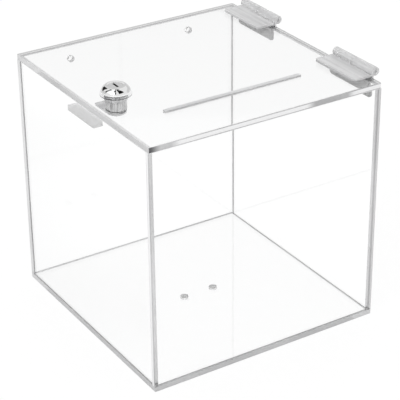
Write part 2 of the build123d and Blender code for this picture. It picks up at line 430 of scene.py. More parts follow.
@dataclass(frozen=True)
class PlatedMetal(Finish):
    """A metal, from mirror chrome to dull zinc, with a fine grain."""

    dark: Colour
    light: Colour
    gloss: float
    satin: float
    stretch: Triple = (1.0, 1.0, 1.0)
    relief: float = 0.0
    relief_depth: float = 0.05 * MM
    fine_scale: float = 700.0
    cloud_scale: float = 160.0

    def surface(self, tree: ShaderTree) -> Socket:
        """Makes the finish's surface.

        Args:
            tree: the material's tree.

        Returns:
            The shader's output.
        """
        fine = tree.grain(self.fine_scale, stretch=self.stretch)
        cloud = tree.grain(self.cloud_scale, detail=2.0)
        colour = tree.tone(tree.ramp(cloud, *SOFT_BAND, 0.0, 1.0), self.dark, self.light)
        rough = tree.ramp(fine, *WIDE_BAND, self.gloss, self.satin)
        bump = tree.bump(self.relief, self.relief_depth, fine)
        return tree.principled({"Base Color": colour, "Roughness": rough, "Normal": bump, "Metallic": 1.0})


@dataclass(frozen=True)
class ChromedCasting(Finish):
    """Bright chrome on the lock's head, and the satin of the casting on its barrel."""

    name: str = "chromed_casting"
    bright: Colour = grey(0.97, 0.0)
    dull: Colour = grey(0.74)
    head_from: float = 249.7 * MM
    head_to: float = 250.1 * MM
    # A thin band just above the barrel's end is painted dark: painted shade of the gap between the barrel and
    # the stop washer.
    gap_shade_from: float = 230.3 * MM
    gap_shade_to: float = 230.5 * MM
    gap_shade_tone: float = 0.1
    drawn_scale: float = 900.0
    drawn: Triple = (1.0, 1.0, 0.06)
    drawn_band: Point = (0.38, 0.62)
    drawn_tone: float = 0.55
    cloud_scale: float = 160.0
    mirror: Point = (0.03, 0.054)
    satin: Point = (0.296, 0.444)

    def surface(self, tree: ShaderTree) -> Socket:
        """Makes the finish's surface.

        Args:
            tree: the material's tree.

        Returns:
            The shader's output.
        """
        height = tree.place()[2]
        head = tree.ramp(height, self.head_from, self.head_to, 0.0, 1.0)
        drawn = tree.grain(self.drawn_scale, stretch=self.drawn)
        streaks = tree.ramp(drawn, *self.drawn_band, self.drawn_tone, 1.0)
        # Painted shade: the thin band just above the barrel's end is darkened.
        gap_shade = tree.ramp(height, self.gap_shade_from, self.gap_shade_to, self.gap_shade_tone, 1.0)
        shade = tree.blend(head, tree.math("MULTIPLY", streaks, gap_shade), 1.0)
        colour = tree.shaded(tree.tone(head, self.dull, self.bright), shade)
        mirror = tree.ramp(tree.grain(self.cloud_scale, detail=2.0), *WIDE_BAND, *self.mirror)
        satin = tree.ramp(drawn, *WIDE_BAND, *self.satin)
        rough = tree.blend(head, satin, mirror)
        return tree.principled({"Base Color": colour, "Roughness": rough, "Metallic": 1.0})


@dataclass(frozen=True)
class StudioPaper(Finish):
    """White paper that takes shadows, and is even where it is seen directly or through the box.

    Where it is mirrored, it has soft patches, from dim_patch to its full glow.
    """

    name: str = "studio_white"
    colour: Colour = grey(0.98, 0.0)
    glow: float = 1.03
    glow_through: float = 1.035
    camera_share: float = 0.9
    other_share: float = 0.95
    patches_per_metre: float = 1.7
    patch_band: Point = (0.4, 0.6)
    dim_patch: float = 0.72

    def surface(self, tree: ShaderTree) -> Socket:
        """Makes the finish's surface.

        Args:
            tree: the material's tree.

        Returns:
            The shader's output.
        """
        camera, through, mirrored = tree.rays()
        noise = tree.grain(self.patches_per_metre, detail=1.0)
        patches = tree.ramp(noise, *self.patch_band, self.dim_patch, self.glow)
        glow = tree.blend(mirrored, tree.blend(through, self.glow, self.glow_through), patches)
        emission = tree.node("Emission", {"Strength": glow}).outputs[0]
        paper = tree.node("BsdfDiffuse", {"Color": (*self.colour, 1.0)}).outputs[0]
        share = tree.math("MULTIPLY", camera, self.camera_share)
        for seen in (mirrored, through):
            share = tree.math("MAXIMUM", share, tree.math("MULTIPLY", seen, self.other_share))
        return tree.node("MixShader", {0: share, 1: paper, 2: emission}).outputs[0]


def material_from(finish: Finish) -> Material:
    """A field that holds a finish's material."""
    return field(default_factory=finish.material)


@dataclass
class Finishes:
    """All the finishes of the box, made once."""

    clear: Material = material_from(ClearAcrylic())
    edge: Material = material_from(PolishedEdge(inner=0.97, tint=0.48, index=1.03))
    bonded: Material = material_from(PolishedEdge("bonded_edge", grey(0.62), grey(0.76), silver=1.0))
    pale: Material = material_from(PolishedEdge("wall_top_edge", grey(0.84), grey(0.94), silver=1.0))
    satin: Material = material_from(
        PolishedEdge("slot_edge", grey(0.84), grey(0.94), clear=0.0, inner=0.3)
    )
    floor_edge: Material = material_from(
        RimmedEdge(
            "floor_hole_edge", grey(0.66), grey(0.76), clear=0.0, inner=0.75, silver=0.2,
            middle=2.5 * MM, rim=0.8 * MM, bright=grey(1.0, 0.0),
        )
    )
    front_edge: Material = material_from(
        RimmedEdge(
            "front_wall_edge", grey(0.5), grey(0.62), clear=0.0, inner=0.0,
            across=Across.Y, middle=-121.0 * MM, rim=0.6 * MM,
        )
    )
    back_edge: Material = material_from(RimmedEdge("back_hole_edge", across=Across.Y, middle=122.5 * MM))
    lid_edge: Material = material_from(
        RimmedEdge(
            "lid_front_edge", grey(0.5), grey(0.66), clear=0.0, inner=0.0,
            runs=((-200 * MM, -98 * MM), (45 * MM, 90 * MM)), shade=(-124.5 * MM, -112 * MM),
        )
    )
    # The keeper is painted darker towards its bottom: painted shade.
    milky: Material = material_from(
        MouldedPlastic(
            "keeper_acrylic", grey(0.65), grey(0.8), clear=0.93, gloss=0.12, satin=0.24,
            index=1.03, painted_shade_heights=(228.0 * MM, 233.2 * MM),
        )
    )
    # The hinge leaves are painted darker towards their bottoms: painted shade on the wall leaf's lower part.
    hinge: Material = material_from(
        MouldedPlastic(
            "hinge_plastic_milky", grey(0.83), grey(0.99), clear=0.3, gloss=0.15, satin=0.26,
            painted_shade_heights=(229.0 * MM, 246.0 * MM),
        )
    )
    washer: Material = material_from(
        MouldedPlastic(
            "washer_plastic_clear", grey(0.88), grey(0.95), clear=0.97, gloss=0.01, satin=0.02,
            index=1.12, lines=(40.0, 40.0, 40.0),
        )
    )
    chrome: Material = material_from(
        PlatedMetal("chrome_plate", grey(0.94), grey(0.98, 0.0), gloss=0.02, satin=0.05)
    )
    casting: Material = material_from(ChromedCasting())
    zinc: Material = material_from(
        PlatedMetal(
            "zinc_plate", grey(0.5, 0.01), grey(0.68), gloss=0.29, satin=0.4,
            stretch=(1.0, 6.0, 1.0), relief=0.15,
        )
    )
    steel: Material = material_from(
        PlatedMetal(
            "plain_steel", grey(0.3), grey(0.46), gloss=0.29, satin=0.38,
            stretch=(1.0, 1.0, 5.0), relief=0.15,
        )
    )
    brass: Material = material_from(
        PlatedMetal(
            "stamped_brass", (0.62, 0.45, 0.2), (0.8, 0.62, 0.3), gloss=0.29, satin=0.38,
            stretch=(1.0, 1.0, 5.0), relief=0.15,
        )
    )


def round_corners(low: Point, high: Point, radii: float | tuple[float, ...], steps: int = 4) -> Loop:
    """A rectangle with rounded corners, anticlockwise from its highest.

    Args:
        low: its lowest corner.
        high: its highest corner.
        radii: the corners' radius, or the four corners' own.
        steps: how many edges each corner has.

    Returns:
        The outline's points.
    """
    points = []
    if not isinstance(radii, tuple):
        radii = (radii,) * 4
    for number, radius in enumerate(radii):
        x = high[0] - radius if number in (0, 3) else low[0] + radius
        y = high[1] - radius if number < 2 else low[1] + radius
        for step in range(steps + 1):
            angle = math.radians(90 * number + 90 * step / steps)
            points.append((x + radius * math.cos(angle), y + radius * math.sin(angle)))
    return points


def circle(x: float, y: float, radius: float, sides: int = 48) -> Loop:
    """A circle's points about a centre, anticlockwise."""
    turns = [math.tau * side / sides for side in range(sides)]
    return [(x + radius * math.cos(turn), y + radius * math.sin(turn)) for turn in turns]


def double_d(x: float, y: float, radius: float, half_flat: float, sides: int = 64) -> Loop:
    """A circle with two flats across the first coordinate, anticlockwise.

    Args:
        x: the centre's first coordinate.
        y: the centre's second coordinate.
        radius: the circle's radius.
        half_flat: half the distance across the flats.
        sides: how many points the circle has.

    Returns:
        The outline's points.
    """
    points = circle(0, 0, radius, sides)
    inside = [(u, v) for u, v in points if abs(u) < half_flat]
    rise = math.sqrt(radius**2 - half_flat**2)
    corners = [(half_flat, rise), (-half_flat, rise), (-half_flat, -rise), (half_flat, -rise)]
    ordered = sorted(inside + corners, key=lambda p: math.atan2(p[1], p[0]))
    return [(x + u, y + v) for u, v in ordered]


def crease_edges(form: bmesh.types.BMesh, crease: float) -> None:
    """Keeps the edges of a closed form sharp at its flat faces and where it turns by a crease.

    Args:
        form: the form, whose rounded faces are smooth.
        crease: the angle from which an edge is sharp.
    """
    for edge in form.edges:
        first, second = edge.link_faces
        edge.smooth = first.smooth and second.smooth and edge.calc_face_angle() < crease


@dataclass
class Plate:
    """A flat piece cut from sheet: an outline with holes, broken along every edge.

    Kinds are those of the outer edges that aren't plain grey, by the direction they face, and
    hole_kinds those of the holes. Straight is how far along the axis a flat face's normal points.
    """

    name: str
    across: Across
    outline: Loop
    holes: list[Loop]
    low: float
    high: float
    kinds: dict[str, EdgeKind] = field(default_factory=dict)
    hole_kinds: tuple[EdgeKind, ...] = (EdgeKind.BRIGHT, EdgeKind.BRIGHT)
    edge_break: float = 0.15 * MM
    steps: int = 1
    crease: float = math.radians(30)
    weld: float = 0.002 * MM
    hole_inset: float = 2 * MM
    straight: float = 0.999

    def mesh(self) -> Mesh:
        """Builds the mesh, whose flat faces are clear and whose edges have their kinds' finishes.

        Returns:
            The mesh, in the row frame.
        """
        curve = bpy.data.curves.new(self.name, "CURVE")
        curve.dimensions = "2D"
        curve.fill_mode = "BOTH"
        curve.extrude = (self.high - self.low) / 2 - self.edge_break
        curve.bevel_depth = self.edge_break
        curve.bevel_resolution = self.steps
        curve.offset = -self.edge_break
        loops = [self.outline] + [hole[::-1] for hole in self.holes]
        for loop in loops:
            spline = curve.splines.new("POLY")
            spline.points.add(len(loop) - 1)
            for point, (u, v) in zip(spline.points, loop):
                point.co = (u, v, 0, 1)
            spline.use_cyclic_u = True
        drawn = bpy.data.objects.new(self.name + "_outline", curve)
        mesh = bpy.data.meshes.new_from_object(drawn)
        bpy.data.objects.remove(drawn)
        bpy.data.curves.remove(curve)
        return self.placed(mesh)

    def kind_of(self, face: bmesh.types.BMFace) -> EdgeKind:
        """Which kind of edge a face belongs to.

        Args:
            face: a face of the finished piece that isn't one of its two flat sides.

        Returns:
            The kind.
        """
        first, second = self.across.plane
        centre = face.calc_center_median()
        place = (centre[first], centre[second])
        inside = all(
            min(values) + self.hole_inset < value < max(values) - self.hole_inset
            for value, values in zip(place, zip(*self.outline))
        )
        if inside:
            away = [min(math.dist(place, point) for point in hole) for hole in self.holes]
            return self.hole_kinds[away.index(min(away))]
        way = first if abs(face.normal[first]) > abs(face.normal[second]) else second
        sign = "+" if face.normal[way] > 0 else "-"
        return self.kinds.get(sign + "XYZ"[way], EdgeKind.GREY)

    def placed(self, mesh: Mesh) -> Mesh:
        """Joins the outline's surfaces into one closed mesh and turns it to face its axis.

        Args:
            mesh: the flat piece, drawn on the XY plane.

        Returns:
            The same mesh, in place.
        """
        middle = (self.low + self.high) / 2
        form = bmesh.new()
        form.from_mesh(mesh)
        bmesh.ops.remove_doubles(form, verts=form.verts, dist=self.weld)
        for vertex in form.verts:
            u, v, through = vertex.co
            vertex.co = self.across.point(u, v, middle + through)
        bmesh.ops.recalc_face_normals(form, faces=form.faces)
        if form.calc_volume(signed=True) < 0:
            bmesh.ops.reverse_faces(form, faces=form.faces)
        for face in form.faces:
            face.normal_update()
            flat = abs(face.normal[self.across.normal]) > self.straight
            face.material_index = 0 if flat else self.kind_of(face).value
            face.smooth = not flat
        crease_edges(form, self.crease)
        form.to_mesh(mesh)
        form.free()
        return mesh


@dataclass(frozen=True)
class Ring:
    """One ring of a turned piece: its place on the axis, its radius and half its width across two flats."""

    height: float
    radius: float
    half_flat: float = math.inf


@dataclass
class TurnedPiece:
    """A piece turned about an axis, from rings that run round its closed section."""

    name: str
    across: Across
    centre: Point
    rings: list[Ring]
    sides: int = 128
    crease: float = math.radians(24)
    block_break: float = 0.15 * MM
    least_cosine: float = 1e-6

    def form(self) -> bmesh.types.BMesh:
        """Builds the turned surface.

        Returns:
            The closed form, in the row frame.
        """
        form = bmesh.new()
        loops = []
        for ring in self.rings:
            loop = []
            for side in range(self.sides):
                turn = math.tau * side / self.sides
                reach = min(ring.radius, ring.half_flat / max(abs(math.cos(turn)), self.least_cosine))
                u = self.centre[0] + reach * math.cos(turn)
                v = self.centre[1] + reach * math.sin(turn)
                loop.append(form.verts.new(self.across.point(u, v, ring.height)))
            loops.append(loop)
        for lower, upper in zip(loops, loops[1:] + loops[:1]):
            for side in range(self.sides):
                after = (side + 1) % self.sides
                form.faces.new((lower[side], lower[after], upper[after], upper[side]))
        return form

    def mesh(self, extra: list[tuple[Vector, Vector]] | None = None) -> Mesh:
        """Builds the mesh.

        Args:
            extra: small blocks on the piece, each as its two corners.

        Returns:
            The mesh, smooth but for its creases.
        """
        form = self.form()
        for low, high in extra or []:
            made = bmesh.ops.create_cube(form, size=1.0)["verts"]
            for vertex in made:
                share = vertex.co + Vector((0.5, 0.5, 0.5))
                vertex.co = Vector(low[i] + (high[i] - low[i]) * share[i] for i in range(3))
            edges = list({edge for vertex in made for edge in vertex.link_edges})
            bmesh.ops.bevel(form, geom=edges, offset=self.block_break, segments=2, affect="EDGES")
        bmesh.ops.recalc_face_normals(form, faces=form.faces)
        for face in form.faces:
            face.smooth = True
        crease_edges(form, self.crease)
        mesh = bpy.data.meshes.new(self.name)
        form.to_mesh(mesh)
        form.free()
        return mesh


def add_object(name: str, data: bpy.types.ID) -> bpy.types.Object:
    """Adds an object to the scene.

    Args:
        name: the object's name.
        data: its mesh, camera or light.

    Returns:
        The object.
    """
    made = bpy.data.objects.new(name, data)
    bpy.context.scene.collection.objects.link(made)
    return made


def add_piece(
    name: str, mesh: Mesh, materials: list[Material], body: Body, slot: Slot, *nodes: str
) -> bpy.types.Object:
    """Adds a piece that stands for CAD nodes and rides on a body.

    Args:
        name: the piece's name.
        mesh: its mesh.
        materials: its finishes, in slot order.
        body: the body that it rides on.
        slot: the record's material slot; not used.
        nodes: the CAD nodes that it stands for.

    Returns:
        The piece.
    """
    piece = add_object(name, mesh)
    for material in materials:
        mesh.materials.append(material)
    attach(piece, body.value)
    if nodes:
        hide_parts(*nodes)
    log.info("%s: %d faces, rides on %s", name, len(mesh.polygons), body.value)
    return piece


def united(
    name: str, parts: list[Mesh], crease: float = math.radians(30), weld: float = 0.001 * MM,
    straight: float = 0.9995,
) -> Mesh:
    """Unites closed meshes that overlap into one skin, smooth but for its flats and creases.

    Args:
        name: the new mesh's name.
        parts: the meshes, which are used up.
        crease: the angle from which an edge is sharp.
        weld: how near two points lie that become one.
        straight: how far along an axis the normal of a flat face points.

    Returns:
        The new mesh.
    """
    pieces = [add_object(name, part) for part in parts]
    for other in pieces[1:]:
        modifier = pieces[0].modifiers.new("unite", "BOOLEAN")
        modifier.operation = "UNION"
        modifier.solver = "EXACT"
        modifier.object = other
    bpy.context.view_layer.update()
    whole = bpy.data.meshes.new_from_object(pieces[0].evaluated_get(bpy.context.evaluated_depsgraph_get()))
    for piece, part in zip(pieces, parts):
        bpy.data.objects.remove(piece)
        bpy.data.meshes.remove(part)
    form = bmesh.new()
    form.from_mesh(whole)
    bmesh.ops.remove_doubles(form, verts=form.verts, dist=weld)
    for face in form.faces:
        face.normal_update()
        face.material_index = 0
        face.smooth = max(abs(value) for value in face.normal) < straight
    crease_edges(form, crease)
    form.to_mesh(whole)
    form.free()
    whole.name = name
    return whole


def dress(node: str, material: Material) -> None:
    """Gives a CAD node its finish.

    Args:
        node: the node's name.
        material: the finish for all of its material slots.
    """
    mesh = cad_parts[node].data
    if not mesh.materials:
        mesh.materials.append(material)
    for number in range(len(mesh.materials)):
        mesh.materials[number] = material
    log.info("%s: CAD mesh, %s", node, material.name)


@dataclass
class ClearCase:
    """The bonded case: floor, four walls and the keeper inside the left wall."""

    finishes: Finishes
    bond: float = 0.02 * MM
    corner: float = 0.2 * MM
    floor_hole_radius: float = 4.0 * MM
    floor_hole_pitch: float = 34.0 * MM
    wall_hole_radius: float = 3.25 * MM
    wall_hole_pitch: float = 137.0 * MM
    wall_hole_height: float = 230.0 * MM

    def sheet(
        self, node: str, across: Across, kinds: dict[str, EdgeKind], bright: Material, holes: list[Loop]
    ) -> None:
        """Adds one sheet of the case in the place of its CAD node.

        Args:
            node: the node's name.
            across: the axis that the sheet is square to.
            kinds: the kinds of the edges that aren't plain grey, by their direction.
            bright: the finish of its bright edges.
            holes: the outlines of its holes.
        """
        low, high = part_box(node)
        low = [value + self.bond for value in low]
        high = [value - self.bond for value in high]
        first, second = across.plane
        outline = round_corners((low[first], low[second]), (high[first], high[second]), self.corner)
        name = node + "_sheet"
        plate = Plate(name, across, outline, holes, low[across.normal], high[across.normal], kinds)
        own = self.finishes
        finishes = [own.clear, own.edge, own.bonded, bright, own.pale]
        add_piece(name, plate.mesh(), finishes, Body.CASE, Slot.SHEET, node)

    def build(self) -> None:
        """Adds the six pieces."""
        half = self.floor_hole_pitch / 2
        floor_holes = [circle(side * half, 0, self.floor_hole_radius) for side in (-1, 1)]
        half = self.wall_hole_pitch / 2
        wall_holes = [circle(side * half, self.wall_hole_height, self.wall_hole_radius) for side in (-1, 1)]
        finishes = self.finishes
        standing = {"-Z": EdgeKind.BONDED, "+Z": EdgeKind.PALE}
        between = standing | {"-Y": EdgeKind.BONDED, "+Y": EdgeKind.BONDED}
        self.sheet("floor_panel", Across.Z, {}, finishes.floor_edge, floor_holes)
        self.sheet("front_wall", Across.Y, standing | {"-X": EdgeKind.BRIGHT}, finishes.front_edge, [])
        self.sheet("back_wall", Across.Y, standing, finishes.back_edge, wall_holes)
        self.sheet("left_wall", Across.X, between, finishes.bonded, [])
        self.sheet("right_wall", Across.X, between, finishes.bonded, [])
        self.keeper()

    def keeper(self) -> None:
        """Adds the keeper, which is milky all over."""
        low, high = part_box("cam_keeper")
        outline = round_corners((low.x + self.bond, low.y), (high.x, high.y), self.corner)
        plate = Plate("cam_keeper_bar", Across.Z, outline, [], low.z, high.z)
        finishes = [self.finishes.milky, self.finishes.milky]
        add_piece("cam_keeper_bar", plate.mesh(), finishes, Body.CASE, Slot.SHEET, "cam_keeper")


@dataclass
class SlottedLid:
    """The lid sheet, with its ballot slot and the lock's hole."""

    finishes: Finishes
    skin: float = 0.02 * MM
    corner: float = 1.5 * MM
    corner_steps: int = 6
    slot_steps: int = 12
    slot_round_share: float = 0.999
    slot_length: float = 150.0 * MM
    slot_width: float = 5.0 * MM
    slot_y: float = -66.5 * MM
    lock_x: float = -89.0 * MM
    lock_y: float = -5.5 * MM
    lock_hole_radius: float = 10.15 * MM
    lock_hole_half_flat: float = 9.15 * MM

    def build(self) -> None:
        """Adds the lid in the place of its CAD node."""
        low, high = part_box("lid_panel")
        outline = round_corners((low.x, low.y), (high.x, high.y), self.corner, self.corner_steps)
        x = self.slot_length / 2
        y = self.slot_width / 2
        end_radius = y * self.slot_round_share
        slot = round_corners((-x, self.slot_y - y), (x, self.slot_y + y), end_radius, self.slot_steps)
        hole = double_d(self.lock_x, self.lock_y, self.lock_hole_radius, self.lock_hole_half_flat)
        kinds = {"-Y": EdgeKind.BRIGHT}
        hole_kinds = (EdgeKind.SATIN, EdgeKind.CLEAR)
        bottom = low.z + self.skin
        top = high.z - self.skin
        plate = Plate("lid_sheet", Across.Z, outline, [slot, hole], bottom, top, kinds, hole_kinds)
        own = self.finishes
        finishes = [own.clear, own.edge, own.bonded, own.lid_edge, own.pale, own.satin]
        add_piece("lid_sheet", plate.mesh(), finishes, Body.LID, Slot.SHEET, "lid_panel")


@dataclass
class LeafHinge:
    """One of the two hinges: a moulded leaf on the lid, a moulded leaf on the wall and their pin."""

    finishes: Finishes
    place: str
    start: float
    length: float = 62.0 * MM
    gap: float = 0.3 * MM
    wall_share: float = 0.53
    wall_x: float = 125.0 * MM
    lid_top: float = 250.0 * MM
    lid_reach: float = 21.0 * MM
    wall_reach: float = 20.0 * MM
    thickness: float = 2.6 * MM
    corner: float = 4.0 * MM
    relief: float = 0.4 * MM
    relief_bottom: float = 244.7 * MM
    axis_x: float = 129.8 * MM
    axis_z: float = 254.8 * MM
    knuckle_radius: float = 4.2 * MM
    bore_radius: float = 1.54 * MM
    softness: float = 0.6 * MM
    soft_share: float = 0.4
    soft_steps: int = 3
    corner_steps: int = 6
    small_corner_share: float = 1.1
    pad_inset_share: float = 1.5
    tuck: float = 0.05 * MM
    pad_overlap: float = 0.3 * MM
    lid_arm_overlap: float = 1.3 * MM
    wall_arm_overlap: float = 1.5 * MM
    nose_shares: tuple[Point, ...] = ((0.0, 1.0), (0.15, 0.55), (0.5, 0.15), (1.0, 0.0))
    knuckle_sides: int = 64

    def plate(self, across: Across, low: Vector, high: Vector, radii: tuple[float, ...]) -> Mesh:
        """Makes a flat part of a leaf, soft along its edges.

        Args:
            across: the axis that it is square to.
            low: its lowest corner.
            high: its highest corner.
            radii: the radii of its four corners.

        Returns:
            The mesh.
        """
        first, second = across.plane
        corners = (low[first], low[second]), (high[first], high[second])
        outline = round_corners(*corners, radii, self.corner_steps)
        bottom = low[across.normal]
        top = high[across.normal]
        soft = min(self.softness, (top - bottom) * self.soft_share)
        plate = Plate("leaf_plate", across, outline, [], bottom, top, edge_break=soft, steps=self.soft_steps)
        return plate.mesh()

    def knuckle(self, start: float, end: float) -> Mesh:
        """Makes a leaf's part of the barrel, bored for the pin.

        Args:
            start: its front end.
            end: its rear end.

        Returns:
            The mesh.
        """
        radius = self.knuckle_radius
        soft = self.softness
        nose = self.nose_shares
        front = [Ring(start + soft * along, radius - soft * inward) for along, inward in nose]
        back = [Ring(end - soft * along, radius - soft * inward) for along, inward in reversed(nose)]
        rings = [Ring(start, self.bore_radius), *front, *back, Ring(end, self.bore_radius)]
        axis = (self.axis_x, self.axis_z)
        return TurnedPiece("leaf_knuckle", Across.Y, axis, rings, self.knuckle_sides).mesh()

    def add_leaf(self, side: str, body: Body, parts: list[Mesh]) -> None:
        """Adds a leaf, united from its parts, in the place of its CAD node.

        Args:
            side: the side of the hinge that it is on.
            body: the body that it rides on.
            parts: the meshes of its parts.
        """
        node = f"{self.place}_{side}_leaf"
        mesh = united(node + "_moulded", parts)
        add_piece(mesh.name, mesh, [self.finishes.hinge], body, Slot.HINGE, node)

    def lid_leaf(self, split: float) -> None:
        """Adds the leaf on the lid, whose knuckle is the rear one.

        Args:
            split: where the two knuckles meet.
        """
        end = self.start + self.length
        z = self.lid_top
        top = z + self.thickness
        small = self.softness * self.small_corner_share
        low = Vector((self.wall_x - self.lid_reach, self.start, z))
        high = Vector((self.wall_x - self.gap, end, top))
        flat = self.plate(Across.Z, low, high, (small, self.corner, self.corner, small))
        low = Vector((self.wall_x - self.lid_arm_overlap, split, z + self.tuck))
        high = Vector((self.axis_x, end, top - self.tuck))
        arm = self.plate(Across.Z, low, high, (small,) * 4)
        self.add_leaf("lid", Body.LID, [flat, arm, self.knuckle(split, end)])

    def wall_leaf(self, split: float) -> None:
        """Adds the leaf on the wall, whose knuckle is the front one, with its relief beside the lid.

        Args:
            split: where the two knuckles meet.
        """
        end = self.start + self.length
        x = self.wall_x
        bottom = self.lid_top - self.wall_reach
        small = self.softness * self.small_corner_share
        low = Vector((x + self.relief, self.start, bottom))
        high = Vector((x + self.thickness, end, self.lid_top - self.gap))
        flat = self.plate(Across.X, low, high, (small, small, self.corner, self.corner))
        inset = self.softness * self.pad_inset_share
        low = Vector((x, self.start + inset, bottom + inset))
        high = Vector((x + self.relief + self.pad_overlap, end - inset, self.relief_bottom))
        rounded = self.corner - inset
        pad = self.plate(Across.X, low, high, (small, small, rounded, rounded))
        low = Vector((x + self.relief + self.tuck, self.start, self.lid_top - self.wall_arm_overlap))
        high = Vector((x + self.thickness - self.tuck, split, self.axis_z))
        arm = self.plate(Across.X, low, high, (small,) * 4)
        self.add_leaf("wall", Body.CASE, [flat, pad, arm, self.knuckle(self.start, split)])

    def build(self) -> None:
        """Adds the two leaves and dresses the pin."""
        split = self.start + self.length * self.wall_share
        self.lid_leaf(split + self.gap / 2)
        self.wall_leaf(split - self.gap / 2)
        dress(f"{self.place}_hinge_pin", self.finishes.hinge)


@dataclass
class CamLock:
    """The domed cam lock in the lid."""

    finishes: Finishes
    x: float = -89.0 * MM
    y: float = -5.5 * MM
    lid_top: float = 250.0 * MM
    head_radius: float = 14.0 * MM
    flat_radius: float = 10.0 * MM
    head_height: float = 6.3 * MM
    # Each ring of the rim: its height over the lid and its distance inside the head's radius.
    rim_profile: tuple[Point, ...] = (
        (0.02 * MM, 0.35 * MM),
        (0.12 * MM, 0.1 * MM),
        (0.4 * MM, 0.0),
        (1.1 * MM, 0.0),
        (1.55 * MM, 0.06 * MM),
    )
    flank_low: Point = (1.9 * MM, 0.22 * MM)
    # Each ring of the top: its depth below the flat and its distance outside the flat's or the bore's radius.
    flank_high: Point = (0.4 * MM, 0.42 * MM)
    brow_profile: tuple[Point, ...] = ((0.14 * MM, 0.16 * MM), (0.02 * MM, -0.12 * MM), (0.0, -0.4 * MM))
    mouth_profile: tuple[Point, ...] = ((0.0, 0.35 * MM), (0.08 * MM, 0.1 * MM), (0.3 * MM, 0.0))
    bulge: float = 0.4 * MM
    bulge_share: Point = (0.64, 0.77)
    flank_steps: int = 12
    barrel_radius: float = 10.0 * MM
    barrel_half_flat: float = 9.0 * MM
    barrel_end: float = 229.7 * MM
    barrel_break: float = 0.5 * MM
    flat_break: float = 0.4 * MM
    lug_inner: float = 7.9 * MM
    lug_outer: float = 9.0 * MM
    lug_half_width: float = 1.5 * MM
    lug_bottom: float = 227.9 * MM
    lug_overlap: float = 0.3 * MM
    bore_radius: float = 6.16 * MM
    face_bore_radius: float = 6.86 * MM
    face_bore_bottom: float = 252.94 * MM
    washer_radius: float = 15.0 * MM
    washer_bore: float = 10.15 * MM
    washer_low: float = 244.02 * MM
    washer_high: float = 244.98 * MM
    washer_break: float = 0.2 * MM

    def head_rings(self) -> list[Ring]:
        """The head's outside: its underside, its rim, its bowed flank and its flat.

        Returns:
            The rings, from the barrel to the plug's bore.
        """
        z = self.lid_top
        top = z + self.head_height
        rings = [Ring(z + self.rim_profile[0][0], self.barrel_radius, self.barrel_half_flat)]
        rings += [Ring(z + rise, self.head_radius - inward) for rise, inward in self.rim_profile]
        low = Ring(z + self.flank_low[0], self.head_radius - self.flank_low[1])
        high = Ring(top - self.flank_high[0], self.flat_radius + self.flank_high[1])
        for step in range(self.flank_steps + 1):
            share = step / self.flank_steps
            bow = self.bulge * 4 * share * (1 - share)
            rise = low.height + (high.height - low.height) * share
            reach = low.radius + (high.radius - low.radius) * share
            rings.append(Ring(rise + bow * self.bulge_share[0], reach + bow * self.bulge_share[1]))
        rings += [Ring(top - depth, self.flat_radius + outward) for depth, outward in self.brow_profile]
        rings += [Ring(top - depth, self.face_bore_radius + outward) for depth, outward in self.mouth_profile]
        return rings

    def housing(self) -> None:
        """Adds the head and barrel, in one casting with its stop lug."""
        end_radius = self.barrel_radius - self.barrel_break
        rings = [
            Ring(self.barrel_end, end_radius, self.barrel_half_flat - self.flat_break),
            Ring(self.barrel_end + self.barrel_break, self.barrel_radius, self.barrel_half_flat),
            *self.head_rings(),
            Ring(self.face_bore_bottom, self.face_bore_radius),
            Ring(self.face_bore_bottom, self.bore_radius),
            Ring(self.barrel_end, self.bore_radius),
        ]
        half = self.lug_half_width
        lug_low = Vector((self.x + self.lug_inner, self.y - half, self.lug_bottom))
        lug_high = Vector((self.x + self.lug_outer, self.y + half, self.barrel_end + self.lug_overlap))
        mesh = TurnedPiece("lock_body", Across.Z, (self.x, self.y), rings).mesh([(lug_low, lug_high)])
        add_piece("lock_body", mesh, [self.finishes.casting], Body.LID, Slot.CHROME, "lock_housing")

    def washer(self) -> None:
        """Adds the clear washer under the lid."""
        low = self.washer_low
        high = self.washer_high
        soft = self.washer_break
        rings = [
            Ring(low, self.washer_bore),
            Ring(low, self.washer_radius - soft),
            Ring(low + soft, self.washer_radius),
            Ring(high - soft, self.washer_radius),
            Ring(high, self.washer_radius - soft),
            Ring(high, self.washer_bore),
        ]
        mesh = TurnedPiece("clear_washer", Across.Z, (self.x, self.y), rings).mesh()
        add_piece("clear_washer", mesh, [self.finishes.washer], Body.LID, Slot.WASHER, "barrel_washer")

    def build(self) -> None:
        """Adds the lock's own forms and dresses its CAD pieces."""
        self.housing()
        self.washer()
        dress("lock_plug", self.finishes.chrome)
        for node in ("barrel_nut", "lock_cam"):
            dress(node, self.finishes.zinc)
        for node in ("stop_washer", "cam_washer", "cam_screw"):
            dress(node, self.finishes.steel)
        dress("plug_wafers", self.finishes.brass)


@dataclass(frozen=True)
class SkyZone:
    """A part of the studio that shiny surfaces mirror, between two bearings and two heights.

    Bearings are in degrees, 0 in front of the box and 90 to its right.
    """

    bearing_from: float
    bearing_to: float
    height_from: float
    height_to: float
    brightness: float
    softness: float = 2.0


